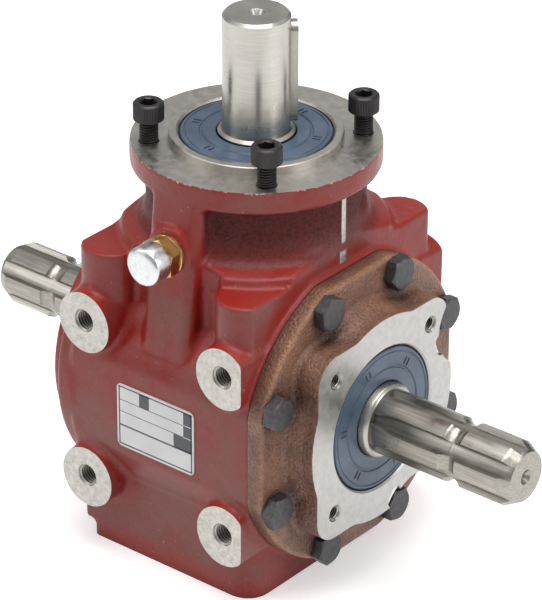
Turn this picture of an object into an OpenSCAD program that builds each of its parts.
// Right-angle bevel gearbox with a splined through shaft and a keyed shaft standing on top.
// The frame has its origin under the crossing of the two shafts, on the flat underside.
// X runs along the through shaft, towards the bolted cover. Z runs up the output shaft.

/* [Casing] */
// Height of the through shaft's axis above the underside
axis_h = 92; // [88:0.5:96]
// Radius of the drum round the through shaft
drum_r = 83; // [82:0.5:88]
// Depth that the flats at the front, back and top cut into the drum's round
flat_cut = 4; // [3:0.5:6]
// Depth that the flat under the drum cuts into its round
low_flat_cut = 2.6; // [1.5:0.1:4]
// Distance from the centre to the joint face under the cover
joint_x = 59.5; // [58:0.5:62]
// Radius of the bore that takes the crown gear and the cover's pilot
cavity_r = 62; // [60:0.5:64]
// Distance from the centre to the flat of the closed left end
left_end_x = 69.5; // [68:0.5:72]
// Step from the drum's round down to its closed left end
left_end_step = 3; // [2:0.5:5]
// Distance from the centre to the machined left hub face
left_hub_x = 80; // [78:0.5:82]
// Radius of the round left hub
left_hub_r = 70; // [66:0.5:72]
// Half length of the foot pad
foot_half_x = 54.3; // [50:0.1:57]
// Half width of the foot block
foot_half_y = 69; // [66:0.5:72]
// Distance from the centre to the foot block's left end, above the foot pad
foot_left_x = 61; // [58:0.5:63]
// Height of the foot pad, where the left end steps in
foot_step_h = 8.5; // [6:0.5:12]
// Radius of the foot block's two right corners
foot_corner_r = 13; // [6:0.5:18]
// Radius of the foot block's two left corners
foot_left_corner_r = 1.5; // [1:0.5:8]
// Thickness of the floor and walls of the oil sump
sump_wall = 11; // [8:0.5:16]

/* [Upper casting] */
// Radius of the four corner pillars
pillar_r = 16; // [14:0.5:18]
// Distance of the pillar centres from the middle, along the through shaft
pillar_x = 45; // [43:0.5:47]
// Distance of the pillar centres from the middle, across the through shaft
pillar_y = 61.5; // [59:0.5:63]
// Height of the pillar tops above the shaft axis
pillar_top_z = 84; // [82:0.5:86]
// Distance from the middle to the flat right end of the upper casting
end_right_x = 57.5; // [55:0.5:58]
// Distance from the middle to the flat left end of the upper casting
end_left_x = 59; // [57:0.5:61]
// Radius of the rim at the foot of the neck
rim_r = 70; // [67:0.5:72]
// Height of the rim's edge above the pillar tops
rim_step = 4.5; // [3:0.5:7]
// Radius of the neck under the flange
neck_r = 57; // [55:0.5:60]
// Width of the upright rib that carries the breather
column_w = 32; // [28:1:34]
// Radius of the rib's front corners
column_corner_r = 5; // [3:0.5:7]
// Width of the casting seam that runs down the neck
seam_w = 3; // [1:0.5:5]

/* [Output flange] */
// Height of the flange face above the shaft axis
flange_z = 135; // [132:0.5:138]
// Radius of the flange
flange_r = 65; // [64:0.5:70]
// Thickness of the flange
flange_t = 13; // [10:0.5:15]
// Radius of the pilot ring that stands on the flange
pilot_r = 45; // [44:0.5:48]
// Height of the pilot ring
pilot_h = 4.5; // [3:0.5:6]
// Diameter of the circle that the flange screws stand on
flange_pcd = 110; // [108:1:112]
// Thread diameter of the flange screws
flange_screw_d = 10; // [8:1:10]
// Length of the flange screws under the head
flange_screw_l = 25; // [20:1:30]
// Length of thread left showing between the flange and the screw head
flange_screw_gap = 12.2; // [6:0.1:13]

/* [Tapped bosses] */
// Radius of the tapped bosses on the front and back
boss_r = 17; // [15:0.5:18]
// Half spacing of the bosses along the through shaft
boss_x = 46.3; // [44:0.1:47]
// Half spacing of the bosses up and down
boss_z = 46.2; // [44:0.1:48]
// Height of the machined boss faces above the drum's flats
boss_proud = 3.8; // [2:0.1:6]
// Drilled diameter of the tapped boss holes
boss_hole_d = 10.2; // [8.5:0.1:12]
// Depth of the boss holes
boss_hole_depth = 20; // [14:1:21]
// Drilled diameter of the tapped boss holes at the back
back_hole_d = 8.5; // [6.8:0.1:10]
// Depth of the tapped boss holes at the back
back_hole_depth = 18; // [14:1:21]
// Distance that the trimmed side of the right bosses keeps from the cover's joint
boss_trim_gap = 0.7; // [0.3:0.1:1.5]

/* [Cover] */
// Thickness of the cover's flange
cover_t = 8.9; // [8:0.1:11]
// Distance from the centre to the machined hub face
hub_face_x = 85; // [83:0.5:88]
// Radius of the round part of the hub
hub_r = 58; // [56:0.5:60]
// Radius of the four lobes round the hub's tapped holes
lobe_r = 14.5; // [12:0.5:15]
// Diameter of the circle of tapped holes in the hub face
hub_pcd = 110; // [104:1:112]
// Drilled diameter of the tapped holes in the hub face
hub_hole_d = 6.8; // [5:0.1:8.5]
// Depth of the tapped holes in the hub face
hub_hole_depth = 16; // [10:1:18]
// Thickness of the gasket under the cover
gasket_t = 0.5; // [0.3:0.1:1]
// Number of bolts round the cover
cover_bolts_n = 8; // [6:1:8]
// Distance from the cover's edge to the circle that its bolts stand on
bolt_edge = 8; // [7.5:0.1:9]
// Thread diameter of the cover bolts
cover_bolt_d = 10; // [8:1:10]
// Width across the flats of the cover bolts
cover_bolt_af = 17; // [15:0.5:17]
// Height of the cover bolts' heads
cover_bolt_head = 6.4; // [5:0.1:7]
// Length of the cover bolts under the head
cover_bolt_l = 25; // [20:1:30]
// Radius of the relief that cuts the hub back round two of the bolts
relief_r = 23; // [20:0.5:24]
// Room left round each bolt head on its machined seat
bolt_room = 3; // [2:0.5:4]
// Widening of the cover's hub at its foot
hub_flare = 4; // [2:0.5:5]

/* [Through shaft] */
// Diameter of the bearing and seal seats on both shafts
journal_d = 40; // [38:0.5:41]
// Outside diameter of the bearings and seals
bearing_od = 80; // [78:0.5:81]
// Diameter of the crown gear's seat on the through shaft
crown_seat_d = 45; // [44:0.5:48]
// Diameter of the collar that the crown gear stands against
collar_d = 54; // [52:0.5:58]
// Outside diameter of the splines
spline_d = 34.9; // [34:0.1:36]
// Root diameter of the splines
spline_root_d = 29.65; // [29:0.05:30.5]
// Width of one spline tooth
spline_w = 8.69; // [8:0.01:9.2]
// Length of shaft that stands out of each hub face
spline_reach = 91; // [84:0.5:96]
// Distance of the locking groove from the shaft's end
lock_groove_x = 38; // [34:0.5:42]
// Radius of the locking groove's section
lock_groove_r = 6.8; // [5:0.1:7.5]
// Length of the end chamfer
end_chamfer = 7; // [4:0.5:8]

/* [Output shaft] */
// Diameter of the output shaft's free end
output_d = 35; // [32:0.5:36]
// Height of the output shaft's end above the flange face
output_reach = 69.5; // [64:0.5:74]
// Width of the key on the output shaft
output_key_w = 10; // [8:0.5:12]
// Height of the key on the output shaft
output_key_h = 8; // [7:0.5:9]
// Distance from the end of the output key to the end of the shaft
output_key_end = 5; // [3:0.5:12]
// Direction that the output key points in, from +X towards +Y
output_key_angle = 46; // [0:1:359]
// Diameter of the pinion's seat
pinion_seat_d = 30; // [28:0.5:31]

/* [Bevel gears] */
// Module of the bevel teeth at their outer end
gear_m = 4.5; // [4.25:0.05:4.6]
// Number of teeth on the crown gear
crown_teeth = 24; // [22:1:24]
// Number of teeth on the pinion
pinion_teeth = 16; // [15:1:16]
// Length of the teeth along the pitch cone
face_w = 20; // [16:0.5:21]
// Pressure angle of the teeth
pressure_angle = 20; // [18:0.5:22]
// Free play between the teeth at the outer end
backlash = 0.3; // [0.2:0.05:0.6]

/* [Bearings and seals] */
// Width of the ball bearings on the through shaft
ball_bearing_w = 18; // [17:0.5:19]
// Ball diameter
ball_d = 12; // [10:0.5:12.5]
// Number of balls in each ball bearing
balls_n = 9; // [7:1:9]
// Width of the taper roller bearings on the output shaft
taper_bearing_w = 20; // [19:0.5:21]
// Number of rollers in each taper bearing
rollers_n = 16; // [12:1:16]
// Thickness of the snap rings in the bores
bore_ring_t = 2.5; // [2:0.1:3]
// Width of the shaft seals
seal_w = 10; // [8:0.5:11]
// Depth of the seal face below the machined face
seal_recess = 0.5; // [0.2:0.1:1]
// Thickness of the lip that stops each bearing
lip_w = 3; // [2:0.5:4]

/* [Breather and plugs] */
// Height of the breather above the shaft axis
breather_z = 95.5; // [90:0.5:98]
// Width across the flats of the breather's nipple
breather_af = 20; // [18:0.5:22]
// Diameter of the breather's cap
breather_cap_d = 21; // [18:0.5:22]
// Length of the breather's cap
breather_cap_l = 11.5; // [9:0.5:14]
// Thread diameter of the oil plugs
plug_d = 16.5; // [13:0.5:17]
// Width across the flats of the oil plugs
plug_af = 17; // [14:0.5:18]
// Height of the drain plug above the underside
drain_h = 22; // [18:1:26]
// Diameter of the passages from the breather and the plugs to the inside
passage_d = 8; // [5:0.5:10]

/* [Plate] */
// Width of the bare data plate
plate_w = 52; // [40:1:56]
// Height of the bare data plate
plate_h = 37; // [28:1:40]
// Thickness of the data plate
plate_t = 0.6; // [0.4:0.1:1]

/* [Hidden] */
$fn = 96;

// Small lengths that several pieces share
over = 1;
fit = 0.05;
rub = 0.05;
edge = 1;
rim_round = 1.5;
journal_r = journal_d / 2;
bearing_r = bearing_od / 2;
drum_flat = drum_r - flat_cut;
drum_low_flat = drum_r - low_flat_cut;
left_end_r = drum_r - left_end_step;
boss_face_y = drum_flat + boss_proud;

// Stacks of seal, snap ring and bearing, counted inwards from each machined face
pilot_top_z = flange_z + pilot_h;
cover_x = joint_x + gasket_t;
cover_seat_x = cover_x + cover_t;
ring_depth = seal_recess + seal_w;
bearing_depth = ring_depth + bore_ring_t;
ball_depth = bearing_depth + ball_bearing_w;
taper_depth = bearing_depth + taper_bearing_w;
right_bearing_x = hub_face_x - ball_depth;
left_bearing_x = left_hub_x - ball_depth;
pilot_end_x = right_bearing_x - lip_w;
left_wall_x = left_bearing_x - lip_w;
lip_r = bearing_r - 4;
upper_bearing_z = pilot_top_z - taper_depth;

// Pitch cones of the gear pair, with their common tip where the shaft axes cross
crown_r = gear_m * crown_teeth / 2;
pinion_r = gear_m * pinion_teeth / 2;
crown_angle = atan(crown_r / pinion_r);
pinion_angle = 90 - crown_angle;
cone_l = norm([crown_r, pinion_r]);
tip_h = gear_m;
root_h = 1.2 * gear_m;
shrink = (cone_l - face_w) / cone_l;
pinion_tip_r = pinion_r + tip_h * cos(pinion_angle);

// Places of the gears' hubs
crown_front_x = pinion_r * shrink + 1.5;
crown_hub_r = crown_seat_d / 2 + 10.5;
pinion_front_z = crown_r * shrink + 0.8;
pinion_hub_r = pinion_seat_d / 2 + 13;
pinion_pocket_r = pinion_tip_r + 3;
lower_bearing_z = crown_r + 9;
lip_z = lower_bearing_z - lip_w;
shim_t = 1;
pinion_back_z = lower_bearing_z - shim_t;

// Keys and small rings on the shafts; each key sits this share of its height deep in its shaft
key_bed = 0.6;
ring_groove = 2;
crown_key_w = 14;
crown_key_h = 9;
crown_key_l = right_bearing_x - crown_front_x - 4;
crown_key_foot = crown_seat_d / 2 - key_bed * crown_key_h;
crown_key_x = crown_front_x + 2 + crown_key_l / 2;
pinion_key_w = 8;
pinion_key_h = 7;
pinion_key_l = pinion_back_z - pinion_front_z - 3;
pinion_key_foot = pinion_seat_d / 2 - key_bed * pinion_key_h;
pinion_key_z = pinion_front_z + 1.5 + pinion_key_l / 2;
shaft_ring_t = 1.75;
pinion_ring_t = 1.5;
pinion_ring_z = pinion_front_z - pinion_ring_t;
output_low_z = pinion_ring_z - 2.5;
output_top_z = flange_z + output_reach;
output_shoulder_z = pilot_top_z + 1.5;
shaft_bevel = 1.5;
output_key_z = output_shoulder_z + 2.5;
output_key_l = output_top_z - output_key_end - output_key_z;
output_key_foot = output_d / 2 - key_bed * output_key_h;
ring_ear = 3;

// Ball bearings: the balls run half way between the two rings
ball_pitch_r = (journal_r + bearing_r) / 2;
ball_r = ball_d / 2;
ball_land = 3.5;

// Taper bearings: roller, cup and cone share one tip on the axis
roller_lean = 12;
roller_spread = 1.9;
roller_l = 14;
taper_mid_r = (journal_r + bearing_r) / 2;
taper_tip_z = taper_bearing_w / 2 - taper_mid_r / tan(roller_lean);
roller_mid_s = taper_mid_r / sin(roller_lean);

// Spline grooves are cut by a wheel whose rim is a sharp 60 degree edge
wheel_r = 25;
wheel_centre = spline_root_d / 2 + wheel_r;
wheel_run_out = sqrt(pow(wheel_r, 2) - pow(wheel_r - (spline_d - spline_root_d) / 2, 2));
journal_end = 3;
spline_plain = 4.8;

// Cover bolts, reliefs and flange screws
bolt_clearance = 1;
bolt_wall = 1;
bolt_circle_r = max(drum_r - bolt_edge, cavity_r + bolt_wall + (cover_bolt_d + bolt_clearance) / 2);
bolt_step = 360 / cover_bolts_n;
bolt_angles = [for (i = [0:cover_bolts_n - 1]) (i + 0.5) * bolt_step];
relief_angles = [bolt_step / 2, -1.5 * bolt_step];
bolt_hole_depth = cover_bolt_l - cover_t - gasket_t + 2;
bolt_seat_r = cover_bolt_af / 2 + bolt_room;
screw_angles = [45, 135, 225, 315];
screw_head_d = 1.6 * flange_screw_d;
screw_hole_depth = max(flange_t, flange_screw_l - flange_screw_gap) + 0.5;
screw_af = 0.8 * flange_screw_d;

// Upper casting: levels of the neck's flange and rim
flange_under_z = flange_z - flange_t;
rim_under_z = pillar_top_z - 9;
rim_top_z = pillar_top_z + rim_step;
block_top_z = pillar_top_z - 8;

// Breather ribs lean out from the neck to the drum
column_foot_y = drum_flat - 4.5;
column_head_y = neck_r + 8;
column_foot_z = 36;
column_depth = 20;
column_lean = atan((column_foot_y - column_head_y) / (flange_under_z - column_foot_z));
function column_y(z) = column_foot_y - (z - column_foot_z) * tan(column_lean);
breather_pad_y = column_y(breather_z) + 1.5;
breather_pad_r = breather_af / 2 + 4;
breather_thread_d = 13;
nipple_flange_t = 2.5;
nipple_hex_t = 7;
nipple_thread_l = 10;
plug_head_t = 6;
plug_washer_t = 1.5;
plug_collar_t = 2;
plug_collar_r = plug_af / 2 + 3;
plug_thread_l = 9;
plug_pad_r = plug_af / 2 + 4.5;
plug_pad_t = 2;
drain_x = -20;
drain_z = drain_h - axis_h;
drum_pad_y = drum_flat + plug_pad_t;
foot_pad_y = foot_half_y + plug_pad_t;
sump_y = foot_half_y - sump_wall;
sump_corner_r = 6;
plate_x = -1.2;
plate_z = -2.9;
plate_corner_r = 3;

red = [0.56, 0.22, 0.20];
primer = [0.47, 0.29, 0.24];
steel = [0.70, 0.69, 0.66];
black = [0.16, 0.16, 0.17];
blue = [0.32, 0.40, 0.50];

module at_axis() {
    translate([0, 0, axis_h]) children();
}

// Turns a shape drawn up Z so that it lies along +X, -X, -Y or +Y
module to_right() {
    rotate([0, 90, 0]) children();
}

module to_left() {
    rotate([0, -90, 0]) children();
}

module to_front() {
    rotate([90, 0, 0]) children();
}

module to_back() {
    rotate([-90, 0, 0]) children();
}

module ring(r_out, r_in, h) {
    difference() {
        cylinder(r = r_out, h = h);
        translate([0, 0, -over]) cylinder(r = r_in, h = h + 2 * over);
    }
}

// Flat outline that runs from the middle to x = reach and ends in two rounded corners
module rounded_end(reach, half_y, r) {
    translate([-over, -half_y]) square([reach - r + over, 2 * half_y]);
    translate([-over, r - half_y]) square([reach + over, 2 * (half_y - r)]);
    for (s = [-1, 1]) {
        translate([reach - r, s * (half_y - r)]) circle(r = r);
    }
}

module rounded_block(half_x, half_y, r, h) {
    linear_extrude(h) {
        rounded_end(half_x, half_y, r);
        mirror([1, 0]) rounded_end(half_x, half_y, r);
    }
}

module key_shape(w, l, h) {
    linear_extrude(h) {
        square([w, l - w], center = true);
        for (s = [-1, 1]) {
            translate([0, s * (l - w) / 2]) circle(d = w, $fn = 48);
        }
    }
}

module hexagon(af, h) {
    cylinder(r = af / 2 / cos(30), h = h, $fn = 6);
}

// Outline that the drum, the gasket and the cover share, drawn with its underside towards +X
module drum_outline() {
    intersection() {
        circle(r = drum_r);
        translate([-drum_flat, -drum_flat]) square([drum_flat + drum_low_flat, 2 * drum_flat]);
    }
}

// Places that stand on the cover's bolt circle, each turned to face along +X
module at_cover_bolts(angles) {
    for (a = angles) {
        rotate([a, 0, 0]) translate([0, bolt_circle_r, 0]) to_right() children();
    }
}

module at_flange_screws() {
    for (a = screw_angles) {
        rotate(a) translate([flange_pcd / 2, 0, flange_z]) children();
    }
}

// What is machined into each hub, drawn with the hub's face at zero: the bores for the
// seal, the snap ring and the bearing, the lip behind the bearing and the tapped holes
module hub_cut(through) {
    translate([0, 0, -ball_depth]) cylinder(r = bearing_r, h = ball_depth + over);
    translate([0, 0, -bearing_depth]) cylinder(r = bearing_r + ring_groove, h = bore_ring_t);
    translate([0, 0, -through]) cylinder(r = lip_r, h = through);
    translate([0, 0, -edge]) cylinder(r1 = bearing_r, r2 = bearing_r + edge + fit, h = edge + fit);
    for (a = [45:90:315]) {
        rotate(a) translate([hub_pcd / 2, 0, -hub_hole_depth])
            cylinder(d = hub_hole_d, h = hub_hole_depth + over);
    }
}

module drum() {
    translate([-joint_x, 0, 0]) to_right() linear_extrude(2 * joint_x) drum_outline();
    translate([over - joint_x, 0, 0]) to_left() softened_disc(left_end_r, left_end_x - joint_x + over);
    translate([over - left_end_x, 0, 0]) to_left() softened_disc(left_hub_r, left_hub_x - left_end_x + over);
}

// Disc with a rounded upper rim
module softened_disc(r, h) {
    rotate_extrude() {
        square([r, h - rim_round]);
        square([r - rim_round, h]);
        translate([r - rim_round, h - rim_round]) circle(r = rim_round, $fn = 48);
    }
}

// Foot pad, and above it the block that steps out at the left end
module foot() {
    translate([0, 0, -axis_h]) linear_extrude(axis_h) {
        rounded_end(foot_half_x, foot_half_y, foot_corner_r);
        mirror([1, 0]) rounded_end(foot_half_x, foot_half_y, foot_left_corner_r);
    }
    translate([0, 0, foot_step_h - axis_h]) linear_extrude(axis_h - foot_step_h)
        mirror([1, 0]) rounded_end(foot_left_x, foot_half_y, foot_left_corner_r);
}

// Keeps what lies between the upper casting's two flat ends
module between_ends() {
    intersection() {
        children();
        translate([-end_left_x, -drum_r, -over]) cube([end_left_x + end_right_x, 2 * drum_r, flange_z]);
    }
}

module upper_block() {
    between_ends() {
        for (sx = [-1, 1], sy = [-1, 1]) {
            translate([sx * pillar_x, sy * pillar_y, 0]) cylinder(r = pillar_r, h = pillar_top_z);
        }
        for (s = [-1, 1]) {
            translate([s * pillar_x, 0, pillar_top_z / 2])
                cube([2 * pillar_r, 2 * pillar_y, pillar_top_z], center = true);
        }
        translate([-pillar_x, -pillar_y, 0]) cube([2 * pillar_x, 2 * pillar_y, block_top_z]);
    }
}

// Space between the two pillars of one side, open to the front and the back
module pillar_gaps() {
    gap_x = pillar_x - pillar_r;
    for (s = [0, 180]) {
        rotate(s) translate([-gap_x, pillar_y, 0]) cube([2 * gap_x, drum_r, flange_z]);
    }
}

// Neck, flared rim, flange and pilot ring, turned as two profiles
module neck() {
    between_ends() difference() {
        rotate_extrude() polygon([
            [0, 0], [neck_r, 0], [neck_r, rim_under_z], [rim_r, rim_under_z + 5],
            [rim_r, rim_top_z - edge], [rim_r - edge, rim_top_z], [neck_r + 5, rim_top_z + 3],
            [neck_r + 1.5, rim_top_z + 6], [neck_r, rim_top_z + 10], [0, rim_top_z + 10]
        ]);
        pillar_gaps();
    }
    rotate_extrude() polygon([
        [0, rim_top_z], [neck_r, rim_top_z + 9], [neck_r, flange_under_z - 2], [neck_r + 2, flange_under_z],
        [flange_r - 1.5, flange_under_z], [flange_r, flange_under_z + 1.5], [flange_r, flange_z - edge],
        [flange_r - edge, flange_z], [pilot_r, flange_z], [pilot_r, pilot_top_z - edge],
        [pilot_r - edge, pilot_top_z], [0, pilot_top_z]
    ]);
    for (s = [-1, 1]) {
        translate([s * (neck_r - 1), 0, (rim_top_z + flange_under_z) / 2])
            cube([4, seam_w, flange_under_z - rim_top_z], center = true);
    }
}

// Upright rib with the pad that the breather or the filler plug screws into
module breather_column() {
    tall = flange_z - column_foot_z;
    intersection() {
        translate([0, -column_foot_y, column_foot_z]) rotate([-column_lean, 0, 0])
            translate([0, column_depth, -column_depth]) linear_extrude(tall + 2 * column_depth)
                rotate(-90) rounded_end(column_depth, column_w / 2, column_corner_r);
        translate([-column_w, -drum_r, column_foot_z - column_depth / 2])
            cube([2 * column_w, drum_r, flange_under_z + 1 - column_foot_z + column_depth / 2]);
    }
    translate([0, 0, breather_z]) to_front() cylinder(r = breather_pad_r, h = breather_pad_y);
}

module bosses() {
    trim_x = joint_x - boss_trim_gap;
    intersection() {
        for (sx = [-1, 1], sz = [-1, 1]) {
            translate([sx * boss_x, boss_face_y, sz * boss_z]) to_front()
                cylinder(r = boss_r, h = 2 * boss_face_y);
        }
        translate([-drum_r, -boss_face_y - over, -2 * drum_r])
            cube([drum_r + trim_x, 2 * (boss_face_y + over), 4 * drum_r]);
    }
}

// Hub of the cover, drawn up Z: a disc with a lobe round each tapped hole
module hub(h) {
    linear_extrude(h) {
        circle(r = hub_r);
        lobe_at = hub_pcd / 2 * cos(45);
        square([2 * lobe_at, 2 * (lobe_at + lobe_r)], center = true);
        square([2 * (lobe_at + lobe_r), 2 * lobe_at], center = true);
        for (sx = [-1, 1], sy = [-1, 1]) {
            translate([sx * lobe_at, sy * lobe_at]) circle(r = lobe_r);
        }
    }
}

// Cone that widens the hub at its foot, up to a millimetre short of the machined face
module hub_foot(h) {
    cylinder(r1 = hub_r + hub_flare, r2 = hub_r, h = min(h - edge, 10));
}

module boss_hole(d, depth) {
    translate([0, 0, -depth]) cylinder(d = d, h = depth + over);
}

// Tapped hole with its face at zero, and the passage that leads inside from its floor
module tapped_passage(d, thread_l, inside) {
    translate([0, 0, -thread_l - over]) cylinder(d = d, h = thread_l + 2 * over);
    translate([0, 0, -inside]) cylinder(d = passage_d, h = inside);
}

module gear_space() {
    // Bore for the crown gear, from the left wall to the open right end
    translate([-left_wall_x, 0, 0]) to_right() cylinder(r = cavity_r, h = left_wall_x + joint_x + over);
    // Oil sump between the foot's walls
    sump_x = min(foot_half_x - sump_wall, left_wall_x);
    translate([0, 0, sump_wall - axis_h]) rounded_block(sump_x, sump_y, sump_corner_r, axis_h - sump_wall);
    // Pocket for the pinion, its lip, and the bore up through the neck
    cylinder(r = pinion_pocket_r, h = lip_z);
    cylinder(r = lip_r, h = lower_bearing_z + over);
    translate([0, 0, lower_bearing_z]) cylinder(r = bearing_r, h = pilot_top_z - lower_bearing_z + over);
    translate([0, 0, pilot_top_z - bearing_depth]) cylinder(r = bearing_r + ring_groove, h = bore_ring_t);
    translate([0, 0, pilot_top_z - edge])
        cylinder(r1 = bearing_r, r2 = bearing_r + edge + fit, h = edge + fit);
}

module housing() {
    color(red) at_axis() difference() {
        union() {
            drum();
            foot();
            upper_block();
            neck();
            breather_column();
            rotate(180) breather_column();
            bosses();
            to_back() cylinder(r = plug_pad_r, h = drum_pad_y);
            translate([drain_x, 0, drain_z]) to_back() cylinder(r = plug_pad_r, h = foot_pad_y);
        }
        gear_space();
        translate([-left_hub_x, 0, 0]) to_left() hub_cut(left_hub_x - left_wall_x + over);
        at_flange_screws() translate([0, 0, -screw_hole_depth])
            cylinder(d = flange_screw_d, h = screw_hole_depth + over);
        translate([joint_x, 0, 0]) at_cover_bolts(bolt_angles) translate([0, 0, -bolt_hole_depth])
            cylinder(d = cover_bolt_d, h = bolt_hole_depth + over);
        for (sx = [-1, 1], sz = [-1, 1]) {
            translate([sx * boss_x, -boss_face_y, sz * boss_z])
                to_front() boss_hole(boss_hole_d, boss_hole_depth);
            translate([sx * boss_x, boss_face_y, sz * boss_z])
                to_back() boss_hole(back_hole_d, back_hole_depth);
        }
        translate([0, -breather_pad_y, breather_z]) to_front()
            tapped_passage(breather_thread_d, nipple_thread_l, breather_pad_y - bearing_r + over);
        translate([0, breather_pad_y, breather_z]) to_back()
            tapped_passage(plug_d, plug_thread_l, breather_pad_y - bearing_r + over);
        translate([0, drum_pad_y, 0]) to_back()
            tapped_passage(plug_d, plug_thread_l, drum_pad_y - cavity_r + over);
        translate([drain_x, foot_pad_y, drain_z]) to_back()
            tapped_passage(plug_d, plug_thread_l, foot_pad_y - sump_y + over);
    }
}

module side_cover() {
    color(primer) at_axis() difference() {
        union() {
            translate([cover_x, 0, 0]) to_right() linear_extrude(cover_t) drum_outline();
            translate([cover_x, 0, 0]) to_right() hub(hub_face_x - cover_x);
            translate([cover_seat_x - fit, 0, 0]) to_right() hub_foot(hub_face_x - cover_seat_x);
            translate([pilot_end_x, 0, 0]) to_right()
                cylinder(r = cavity_r - fit, h = cover_x - pilot_end_x + over);
        }
        translate([hub_face_x, 0, 0]) to_right() hub_cut(hub_face_x - pilot_end_x + over);
        translate([cover_x - over, 0, 0]) at_cover_bolts(bolt_angles)
            cylinder(d = cover_bolt_d + bolt_clearance, h = cover_t + 2 * over);
        translate([cover_seat_x, 0, 0]) {
            at_cover_bolts(bolt_angles) cylinder(r = bolt_seat_r, h = hub_face_x);
            at_cover_bolts(relief_angles) cylinder(r = relief_r, h = hub_face_x);
        }
    }
}

module cover_gasket() {
    color(black) at_axis() translate([joint_x, 0, 0]) difference() {
        to_right() linear_extrude(gasket_t) difference() {
            drum_outline();
            circle(r = cavity_r);
        }
        at_cover_bolts(bolt_angles) translate([0, 0, -over])
            cylinder(d = cover_bolt_d + bolt_clearance, h = gasket_t + 2 * over);
    }
}

module cover_bolt() {
    translate([0, 0, -cover_bolt_l]) cylinder(d = cover_bolt_d - 2 * fit, h = cover_bolt_l + over);
    intersection() {
        hexagon(cover_bolt_af, cover_bolt_head);
        cylinder(r1 = cover_bolt_af, r2 = cover_bolt_af / 2 - 0.4, h = cover_bolt_head);
    }
}

module cover_bolts() {
    color(black) at_axis() translate([cover_seat_x, 0, 0]) at_cover_bolts(bolt_angles) cover_bolt();
}

module flange_screw() {
    difference() {
        union() {
            translate([0, 0, -flange_screw_l])
                cylinder(d = flange_screw_d - 2 * fit, h = flange_screw_l + over);
            cylinder(d = screw_head_d, h = flange_screw_d - edge);
            translate([0, 0, flange_screw_d - edge])
                cylinder(d1 = screw_head_d, d2 = screw_head_d - 2 * edge, h = edge);
        }
        translate([0, 0, flange_screw_d / 2]) hexagon(screw_af, flange_screw_d);
    }
}

module flange_screws() {
    color(black) at_axis() at_flange_screws() translate([0, 0, flange_screw_gap]) flange_screw();
}

// Shaft seal drawn with its outer face at zero and its body below
module seal() {
    rotate_extrude() polygon([
        [bearing_r, -seal_w], [bearing_r, -0.8], [bearing_r - 0.8, 0], [journal_r + 3, 0],
        [journal_r + 2.2, -1], [journal_r + rub, -2.2], [journal_r + rub, -3.2], [journal_r + 2.5, -4],
        [journal_r + rub, -seal_w + 3], [journal_r + 3, -seal_w + 1], [journal_r + 4.5, -2],
        [bearing_r - 3, -2], [bearing_r - 3, -seal_w]
    ]);
}

module right_seal() {
    color(blue) at_axis() translate([hub_face_x - seal_recess, 0, 0]) to_right() seal();
}

module left_seal() {
    color(blue) at_axis() translate([seal_recess - left_hub_x, 0, 0]) to_left() seal();
}

module top_seal() {
    color(blue) at_axis() translate([0, 0, pilot_top_z - seal_recess]) seal();
}

// Snap ring in a bore: an open ring with two drilled ears that point inwards
module bore_ring() {
    r_out = bearing_r + ring_groove;
    r_in = bearing_r - 3;
    difference() {
        union() {
            ring(r_out, r_in, bore_ring_t);
            for (s = [-1, 1]) {
                rotate(s * 10) translate([0, r_in + 1, 0]) cylinder(r = 3.5, h = bore_ring_t, $fn = 32);
            }
        }
        translate([-3, 0, -over]) cube([6, 2 * r_out, bore_ring_t + 2 * over]);
        for (s = [-1, 1]) {
            rotate(s * 10) translate([0, r_in + 0.5, -over])
                cylinder(r = 1.2, h = bore_ring_t + 2 * over, $fn = 24);
        }
    }
}

module right_bore_snap_ring() {
    color(steel) at_axis() translate([hub_face_x - bearing_depth, 0, 0]) to_right() bore_ring();
}

module left_bore_snap_ring() {
    color(steel) at_axis() translate([bearing_depth - left_hub_x, 0, 0]) to_left() bore_ring();
}

module top_bore_snap_ring() {
    color(steel) at_axis() translate([0, 0, pilot_top_z - bearing_depth]) bore_ring();
}

// Snap ring in a shaft groove: an open ring with two ears that point outwards
module shaft_ring(shaft_r, t) {
    difference() {
        union() {
            ring(shaft_r + 2.5, shaft_r - 1, t);
            for (s = [-1, 1]) {
                rotate(s * 14) translate([0, shaft_r + 2, 0]) cylinder(r = ring_ear, h = t, $fn = 32);
            }
        }
        translate([0, 0, -over]) cylinder(r = shaft_r - 1, h = t + 2 * over);
        translate([-2, 0, -over]) cube([4, 2 * shaft_r, t + 2 * over]);
        for (s = [-1, 1]) {
            rotate(s * 14) translate([0, shaft_r + 2.2, -over]) cylinder(r = 1, h = t + 2 * over, $fn = 24);
        }
    }
}

module ball_groove() {
    translate([0, 0, ball_bearing_w / 2]) rotate_extrude() translate([ball_pitch_r, 0])
        circle(r = ball_r + fit, $fn = 48);
}

module ball_outer_ring() {
    difference() {
        ring(bearing_r, ball_pitch_r + ball_land, ball_bearing_w);
        ball_groove();
    }
}

module ball_inner_ring() {
    difference() {
        ring(ball_pitch_r - ball_land, journal_r, ball_bearing_w);
        ball_groove();
    }
}

module at_balls() {
    for (i = [0:balls_n - 1]) {
        rotate(i * 360 / balls_n) translate([ball_pitch_r, 0, ball_bearing_w / 2]) children();
    }
}

module ball_set() {
    at_balls() sphere(r = ball_r, $fn = 48);
}

module ball_cage() {
    w = ball_d + 2.4;
    difference() {
        translate([0, 0, (ball_bearing_w - w) / 2]) ring(ball_pitch_r + 1.6, ball_pitch_r - 1.6, w);
        at_balls() rotate([0, 90, 0]) cylinder(r = ball_r + 2 * fit, h = ball_d, center = true, $fn = 48);
    }
}

module at_right_bearing() {
    at_axis() translate([right_bearing_x, 0, 0]) to_right() children();
}

module at_left_bearing() {
    at_axis() translate([-left_bearing_x, 0, 0]) to_left() children();
}

module right_bearing_outer_ring() {
    color(steel) at_right_bearing() ball_outer_ring();
}

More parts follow.
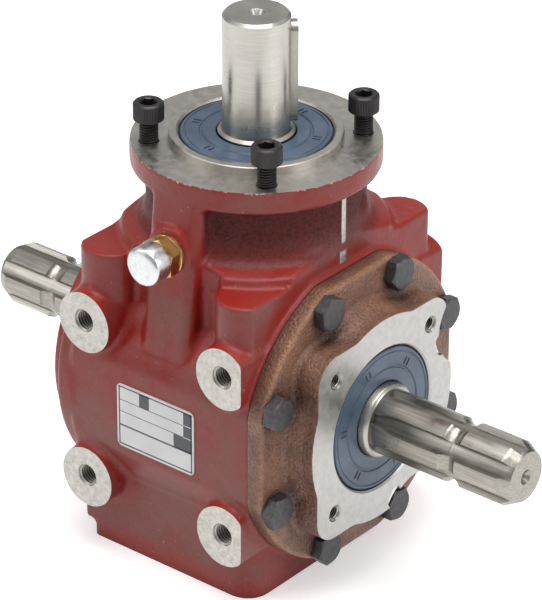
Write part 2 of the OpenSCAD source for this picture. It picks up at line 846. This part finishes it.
module left_bearing_outer_ring() {
    color(steel) at_left_bearing() ball_outer_ring();
}

module right_bearing_inner_ring() {
    color(steel) at_right_bearing() ball_inner_ring();
}

module left_bearing_inner_ring() {
    color(steel) at_left_bearing() ball_inner_ring();
}

module right_bearing_balls() {
    color(steel) at_right_bearing() ball_set();
}

module left_bearing_balls() {
    color(steel) at_left_bearing() ball_set();
}

module right_bearing_cage() {
    color(steel) at_right_bearing() ball_cage();
}

module left_bearing_cage() {
    color(steel) at_left_bearing() ball_cage();
}

// Taper bearing drawn with its small end at zero, opening upwards
function taper_r(z, angle) = (z - taper_tip_z) * tan(angle);

module taper_cup() {
    outer = roller_lean + roller_spread;
    rotate_extrude() polygon([
        [taper_r(0, outer), 0], [bearing_r, 0], [bearing_r, taper_bearing_w - 2],
        [taper_r(taper_bearing_w - 2, outer), taper_bearing_w - 2]
    ]);
}

module taper_cone() {
    inner = roller_lean - roller_spread;
    low = 2.6;
    high = taper_bearing_w - 2;
    rotate_extrude() polygon([
        [journal_r, 0], [taper_r(low, inner) + 1, 0], [taper_r(low, inner) + 1, low],
        [taper_r(low, inner), low], [taper_r(high, inner), high], [taper_r(high, inner) + 2.4, high],
        [taper_r(high, inner) + 2.4, taper_bearing_w], [journal_r, taper_bearing_w]
    ]);
}

module at_rollers() {
    for (i = [0:rollers_n - 1]) {
        rotate(i * 360 / rollers_n) translate([0, 0, taper_tip_z]) rotate([0, roller_lean, 0]) children();
    }
}

module roller(extra) {
    from = roller_mid_s - roller_l / 2;
    to = roller_mid_s + roller_l / 2;
    spread = tan(roller_spread);
    gap = max(extra, 0);
    translate([0, 0, from - gap])
        cylinder(r1 = from * spread + extra, r2 = to * spread + extra, h = roller_l + 2 * gap, $fn = 32);
}

module taper_rollers() {
    at_rollers() roller(-fit);
}

module taper_cage() {
    low = 1;
    high = taper_bearing_w - 1;
    t = 0.9;
    difference() {
        rotate_extrude() polygon([
            [taper_r(low, roller_lean) - t, low], [taper_r(low, roller_lean) + t, low],
            [taper_r(high, roller_lean) + t, high], [taper_r(high, roller_lean) - t, high]
        ]);
        at_rollers() roller(0.15);
    }
}

module at_lower_bearing() {
    at_axis() translate([0, 0, lower_bearing_z]) children();
}

module at_upper_bearing() {
    at_axis() translate([0, 0, upper_bearing_z + taper_bearing_w]) mirror([0, 0, 1]) children();
}

module lower_bearing_cup() {
    color(steel) at_lower_bearing() taper_cup();
}

module upper_bearing_cup() {
    color(steel) at_upper_bearing() taper_cup();
}

module lower_bearing_cone() {
    color(steel) at_lower_bearing() taper_cone();
}

module upper_bearing_cone() {
    color(steel) at_upper_bearing() taper_cone();
}

module lower_bearing_rollers() {
    color(steel) at_lower_bearing() taper_rollers();
}

module upper_bearing_rollers() {
    color(steel) at_upper_bearing() taper_rollers();
}

module lower_bearing_cage() {
    color(steel) at_lower_bearing() taper_cage();
}

module upper_bearing_cage() {
    color(steel) at_upper_bearing() taper_cage();
}

module bearing_sleeve() {
    from = lower_bearing_z + taper_bearing_w;
    color(steel) at_axis() translate([0, 0, from]) ring(journal_r + 5, journal_r, upper_bearing_z - from);
}

// Bevel teeth: each flank follows an involute rolled out on the back cone
function involute_deg(a) = (tan(a) - a * PI / 180) * 180 / PI;

function half_angle(teeth, cone, h) =
    let (v_r = gear_m * teeth / 2 / cos(cone))
    let (rolled = acos(v_r * cos(pressure_angle) / max(v_r + h, v_r * cos(pressure_angle) + 0.001)))
    let (pitch_half = (PI * gear_m / 2 - backlash / 2) / 2 / v_r * 180 / PI)
    (pitch_half + involute_deg(pressure_angle) - involute_deg(rolled)) / cos(cone);

function tooth_point(teeth, cone, h, angle, k) =
    let (r = (gear_m * teeth / 2 + h * cos(cone)) * k)
    let (z = (gear_m * teeth / 2 / tan(cone) - h * sin(cone)) * k)
    [r * cos(angle), r * sin(angle), z];

module bevel_teeth(teeth, cone, front_r, front_z, back_r, back_z) {
    heights = [-root_h, -0.45 * gear_m, 0.3 * gear_m, tip_h];
    steps = len(heights);
    per = 2 * steps;
    n = teeth * per;
    pitch = 360 / teeth;
    function corner(i, k) =
        let (tooth = floor(i / per))
        let (j = i % per)
        let (side = j < steps ? -1 : 1)
        let (h = j < steps ? heights[j] : heights[per - 1 - j])
        let (turn = tooth * pitch + side * half_angle(teeth, cone, h))
        tooth_point(teeth, cone, h, turn, k);
    outer = [for (i = [0:n - 1]) corner(i, 1)];
    inner = [for (i = [0:n - 1]) corner(i, shrink)];
    back = [for (p = outer) [p[0], p[1], 0] * back_r / norm([p[0], p[1]]) + [0, 0, back_z]];
    front = [for (p = inner) [p[0], p[1], 0] * front_r / norm([p[0], p[1]]) + [0, 0, front_z]];
    rings = concat(front, inner, outer, back);
    function strip(low) = [for (i = [0:n - 1], t = [0, 1])
        let (next = (i + 1) % n)
        t == 0 ? [low + i, low + n + i, low + next] : [low + next, low + n + i, low + n + next]];
    caps = [[for (i = [0:n - 1]) i], [for (i = [0:n - 1]) 4 * n - 1 - i]];
    polyhedron(points = rings, faces = concat(strip(0), strip(n), strip(2 * n), caps));
}

// Crown gear drawn up Z with the crossing of the axes at zero
module crown_blank() {
    bevel_teeth(crown_teeth, crown_angle, crown_hub_r + 1, crown_front_x, crown_r - 8, pinion_r + 10);
    translate([0, 0, crown_front_x]) cylinder(r = crown_hub_r, h = right_bearing_x - crown_front_x);
}

module crown_gear() {
    color(steel) at_axis() to_right() difference() {
        crown_blank();
        cylinder(d = crown_seat_d, h = 2 * joint_x);
        translate([-crown_key_foot - crown_key_h, -crown_key_w / 2, crown_front_x - over])
            cube([crown_key_h, crown_key_w, joint_x]);
    }
}

module crown_key_body() {
    translate([crown_key_x, 0, crown_key_foot]) rotate(90) key_shape(crown_key_w, crown_key_l, crown_key_h);
}

module crown_key() {
    color(steel) at_axis() crown_key_body();
}

module pinion_gear() {
    color(steel) at_axis() difference() {
        union() {
            rotate(180 / pinion_teeth) bevel_teeth(
                pinion_teeth, pinion_angle,
                pinion_seat_d / 2 + 4.5, pinion_front_z, pinion_hub_r + 1, crown_r + 5
            );
            translate([0, 0, crown_r]) cylinder(r = pinion_hub_r, h = pinion_back_z - crown_r);
        }
        cylinder(d = pinion_seat_d, h = 2 * crown_r);
        translate([-pinion_key_w / 2, 0, pinion_front_z - over])
            cube([pinion_key_w, pinion_key_foot + pinion_key_h, 2 * crown_r]);
    }
}

module pinion_key_body() {
    translate([0, pinion_key_foot, pinion_key_z]) to_back()
        key_shape(pinion_key_w, pinion_key_l, pinion_key_h);
}

module pinion_key() {
    color(steel) at_axis() pinion_key_body();
}

module pinion_shim() {
    color(steel) at_axis() translate([0, 0, pinion_back_z]) ring(journal_r + 5, journal_r, shim_t);
}

// One splined end, drawn up Z from the hub face to the shaft's end
module splined_end() {
    from = journal_end;
    end_r = spline_root_d / 2 - 1.2;
    difference() {
        rotate_extrude() polygon([
            [0, 0], [journal_r, 0], [journal_r, from - 1], [journal_r - 1, from],
            [spline_d / 2, from], [spline_d / 2, spline_reach - end_chamfer],
            [end_r, spline_reach], [0, spline_reach]
        ]);
        difference() {
            for (i = [0:5]) {
                rotate(60 * i) spline_groove(from + spline_plain + wheel_run_out);
            }
            cylinder(d = spline_root_d, h = spline_reach + over);
        }
        translate([0, 0, spline_reach - lock_groove_x]) rotate_extrude()
            translate([spline_root_d / 2 + lock_groove_r - 0.1, 0]) circle(r = lock_groove_r, $fn = 48);
        translate([0, 0, spline_reach]) centre_hole();
    }
}

// One groove: a straight V, and the two cones of the wheel where the cut runs out
module spline_groove(start) {
    slope = tan(30);
    out = spline_d / 2 + 2;
    rim = wheel_centre - spline_w;
    translate([0, 0, start]) {
        linear_extrude(spline_reach) polygon([
            [spline_w, 0], [out, (out - spline_w) * slope], [out, -(out - spline_w) * slope]
        ]);
        intersection() {
            translate([wheel_centre, 0, 0]) {
                rotate([90, 0, 0]) cylinder(r1 = rim, r2 = 0, h = rim * slope);
                rotate([-90, 0, 0]) cylinder(r1 = rim, r2 = 0, h = rim * slope);
            }
            translate([0, -rim, -rim]) cube([out, 2 * rim, rim]);
        }
    }
}

module centre_hole() {
    translate([0, 0, -9]) cylinder(r = 1.7, h = 10, $fn = 32);
    translate([0, 0, -4]) cylinder(r1 = 1.5, r2 = 4.2, h = 4 + fit, $fn = 32);
}

module through_shaft() {
    color(steel) at_axis() difference() {
        union() {
            translate([hub_face_x, 0, 0]) to_right() splined_end();
            translate([-left_hub_x, 0, 0]) to_left() splined_end();
            translate([-left_hub_x - fit, 0, 0]) to_right()
                cylinder(r = journal_r, h = left_hub_x + hub_face_x + 2 * fit);
            translate([-left_bearing_x, 0, 0]) to_right()
                cylinder(d = crown_seat_d, h = left_bearing_x + right_bearing_x);
            translate([crown_front_x - 8, 0, 0]) to_right() cylinder(d = collar_d, h = 8);
        }
        crown_key_body();
    }
}

module output_key_body() {
    rotate(output_key_angle) translate([output_key_foot, 0, output_key_z + output_key_l / 2])
        rotate([90, 0, 90]) key_shape(output_key_w, output_key_l, output_key_h);
}

module output_shaft() {
    color(steel) at_axis() difference() {
        rotate_extrude() polygon([
            [0, output_low_z], [pinion_seat_d / 2 - edge, output_low_z],
            [pinion_seat_d / 2, output_low_z + edge], [pinion_seat_d / 2, pinion_back_z],
            [journal_r, pinion_back_z], [journal_r, output_shoulder_z - shaft_bevel],
            [journal_r - shaft_bevel, output_shoulder_z], [output_d / 2, output_shoulder_z],
            [output_d / 2, output_top_z - shaft_bevel], [output_d / 2 - shaft_bevel, output_top_z],
            [0, output_top_z]
        ]);
        output_key_body();
        pinion_key_body();
        translate([0, 0, pinion_ring_z]) ring(journal_r, pinion_seat_d / 2 - 1, pinion_ring_t);
        translate([0, 0, pilot_top_z - bearing_depth]) ring(journal_r + over, journal_r - 1, shaft_ring_t);
        translate([0, 0, output_top_z]) centre_hole();
    }
}

module output_key() {
    color(steel) at_axis() output_key_body();
}

module pinion_snap_ring() {
    color(steel) at_axis() translate([0, 0, pinion_ring_z]) shaft_ring(pinion_seat_d / 2, pinion_ring_t);
}

module shaft_snap_ring() {
    color(steel) at_axis() translate([0, 0, pilot_top_z - bearing_depth]) shaft_ring(journal_r, shaft_ring_t);
}

module breather_nipple() {
    color([0.72, 0.58, 0.30]) at_axis() translate([0, -breather_pad_y, breather_z]) to_front() {
        translate([0, 0, -nipple_thread_l])
            cylinder(d = breather_thread_d - 2 * fit, h = nipple_thread_l + over);
        cylinder(r = breather_af / 2 + 1, h = nipple_flange_t);
        translate([0, 0, nipple_flange_t]) hexagon(breather_af, nipple_hex_t);
        cylinder(d = breather_cap_d - 4, h = nipple_flange_t + nipple_hex_t + 3);
    }
}

module breather_cap() {
    from = nipple_flange_t + nipple_hex_t;
    color([0.78, 0.78, 0.79]) at_axis() translate([0, -breather_pad_y, breather_z]) to_front() difference() {
        translate([0, 0, from]) union() {
            cylinder(d = breather_cap_d, h = breather_cap_l - 2);
            translate([0, 0, breather_cap_l - 2])
                cylinder(d1 = breather_cap_d, d2 = breather_cap_d - 3, h = 2);
        }
        translate([0, 0, from - over]) cylinder(d = breather_cap_d - 4, h = 4);
    }
}

module plug() {
    translate([0, 0, -plug_thread_l])
        cylinder(d = plug_d - 2 * fit, h = plug_thread_l + plug_washer_t + over);
    translate([0, 0, plug_washer_t]) cylinder(r = plug_collar_r, h = plug_collar_t);
    translate([0, 0, plug_washer_t]) hexagon(plug_af, plug_head_t);
}

module at_filler() {
    at_axis() translate([0, breather_pad_y, breather_z]) to_back() children();
}

module at_level() {
    at_axis() translate([0, drum_pad_y, 0]) to_back() children();
}

module at_drain() {
    at_axis() translate([drain_x, foot_pad_y, drain_z]) to_back() children();
}

module filler_plug() {
    color(steel) at_filler() plug();
}

module level_plug() {
    color(steel) at_level() plug();
}

module drain_plug() {
    color(steel) at_drain() plug();
}

module plug_washer() {
    ring(plug_collar_r, plug_d / 2, plug_washer_t);
}

module plug_washers() {
    color([0.72, 0.45, 0.30]) {
        at_filler() plug_washer();
        at_level() plug_washer();
        at_drain() plug_washer();
    }
}

module data_plate() {
    color("white") at_axis() translate([plate_x, -drum_flat, plate_z]) to_front()
        rounded_block(plate_w / 2, plate_h / 2, plate_corner_r, plate_t);
}

housing();
side_cover();
cover_gasket();
cover_bolts();
flange_screws();
right_seal();
left_seal();
top_seal();
right_bore_snap_ring();
left_bore_snap_ring();
top_bore_snap_ring();
right_bearing_outer_ring();
left_bearing_outer_ring();
lower_bearing_cup();
upper_bearing_cup();
breather_nipple();
breather_cap();
filler_plug();
level_plug();
drain_plug();
plug_washers();
data_plate();
through_shaft();
crown_gear();
crown_key();
right_bearing_inner_ring();
left_bearing_inner_ring();
right_bearing_balls();
left_bearing_balls();
right_bearing_cage();
left_bearing_cage();
output_shaft();
output_key();
pinion_gear();
pinion_key();
pinion_shim();
lower_bearing_cone();
upper_bearing_cone();
lower_bearing_rollers();
upper_bearing_rollers();
lower_bearing_cage();
upper_bearing_cage();
bearing_sleeve();
pinion_snap_ring();
shaft_snap_ring();
